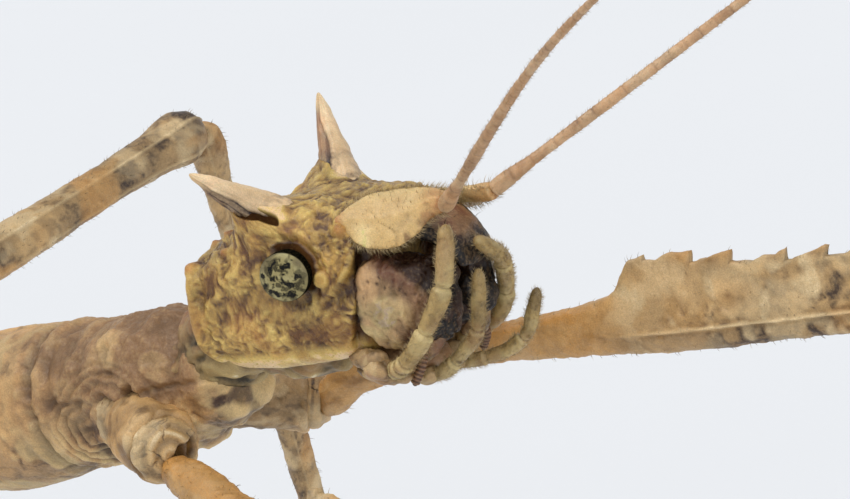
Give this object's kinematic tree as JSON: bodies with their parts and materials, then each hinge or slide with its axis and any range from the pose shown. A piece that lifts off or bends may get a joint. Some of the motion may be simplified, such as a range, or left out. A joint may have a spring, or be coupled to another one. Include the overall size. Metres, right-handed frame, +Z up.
{
  "type": "stick insect model",
  "caption": "Life-size standing stick insect with two head horns, feelers, biting mouthparts, toothed front legs and a long segmented abdomen.",
  "frame": {"origin": "on the floor, below the middle of the model's box", "axes": "+X the way the body faces, along its length; +Y the animal's left side; +Z up"},
  "size_m": [0.1408, 0.0638, 0.0245],
  "materials": {
    "head": "rough ochre and olive cuticle with warts and purple-brown mottling",
    "horn": "pale cream and orange cuticle, dark at the base",
    "eye": "glossy grey-green eye with dark spots",
    "feeler": "pale yellow-brown cuticle with fine bristles and darker joints",
    "jaw": "smooth pinkish-brown cuticle with black biting edges",
    "membrane": "folded pale grey-cream neck skin",
    "body": "tan and brown mottled cuticle with small warts",
    "leg": "tan and brown cuticle with dark bands and ochre teeth"
  },
  "bodies": {
    "root": {"head": "head", "eye_right": "eye", "eye_left": "eye", "horn_right": "horn", "horn_left": "horn", "scape_right": "feeler", "flagellum_right": "feeler", "scape_left": "feeler", "flagellum_left": "feeler", "labrum": "jaw", "labium": "jaw", "mandible_right": "jaw", "mandible_left": "jaw", "maxillary_palp_right": "feeler", "labial_palp_right": "feeler", "maxillary_palp_left": "feeler", "labial_palp_left": "feeler", "neck": "membrane", "prothorax": "body", "mesothorax": "body", "metathorax": "body", "abdomen_2": "body", "abdomen_3": "body", "abdomen_4": "body", "abdomen_5": "body", "abdomen_6": "body", "abdomen_7": "body", "abdomen_8": "body", "abdomen_9": "body", "abdomen_10": "body", "operculum": "body", "cercus_right": "feeler", "cercus_left": "feeler", "fore_right_coxa": "leg", "fore_right_femur": "leg", "fore_right_tibia": "leg", "fore_right_tarsus": "leg", "fore_left_coxa": "leg", "fore_left_femur": "leg", "fore_left_tibia": "leg", "fore_left_tarsus": "leg", "middle_right_coxa": "leg", "middle_right_femur": "leg", "middle_right_tibia": "leg", "middle_right_tarsus": "leg", "middle_left_coxa": "leg", "middle_left_femur": "leg", "middle_left_tibia": "leg", "middle_left_tarsus": "leg", "hind_right_coxa": "leg", "hind_right_femur": "leg", "hind_right_tibia": "leg", "hind_right_tarsus": "leg", "hind_left_coxa": "leg", "hind_left_femur": "leg", "hind_left_tibia": "leg", "hind_left_tarsus": "leg"}
  },
  "joints": []
}
